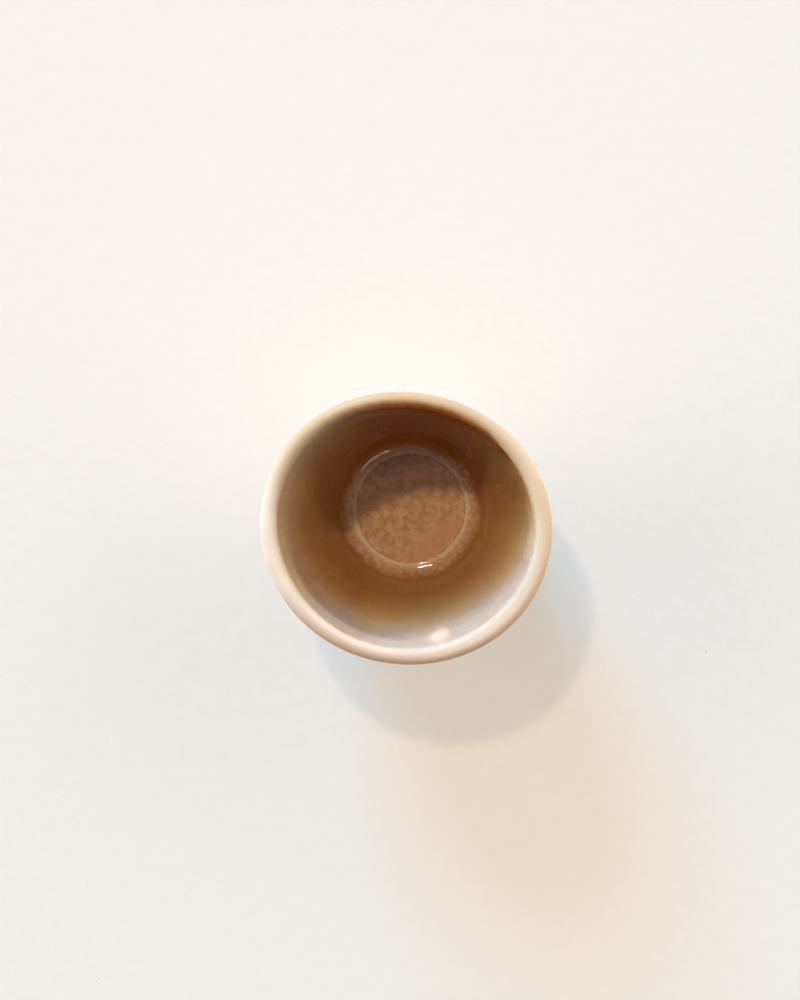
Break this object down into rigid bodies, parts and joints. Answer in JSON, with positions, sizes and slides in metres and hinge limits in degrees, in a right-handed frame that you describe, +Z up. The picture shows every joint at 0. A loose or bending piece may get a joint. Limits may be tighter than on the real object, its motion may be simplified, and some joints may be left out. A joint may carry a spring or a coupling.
{
  "type": "espresso cup",
  "caption": "Small handleless espresso cup in glazed stoneware: a flared cup on a low foot ring, with a brown lined well, a flat floor and a cream rim and outside.",
  "frame": {"origin": "on the cup's axis, in the plane that it stands on", "axes": "+Z up along the cup's axis, +X along the longer way across the slightly oval mouth"},
  "size_m": [0.064, 0.0598, 0.058],
  "materials": {
    "stoneware": "bare fired clay, matte",
    "floor_glaze": "speckled tan glaze, glossy",
    "pooled_glaze": "milky pooled glaze, glossy",
    "liner_glaze": "brown glaze fading to cream at the rim, glossy",
    "cream_glaze": "warm cream glaze, satin"
  },
  "bodies": {
    "root": {"stoneware_body": "stoneware", "foot_ring": "stoneware", "floor_glaze": "floor_glaze", "pooled_glaze_ring": "pooled_glaze", "liner_glaze": "liner_glaze", "rim_glaze": "cream_glaze", "outer_glaze": "cream_glaze"}
  },
  "joints": []
}
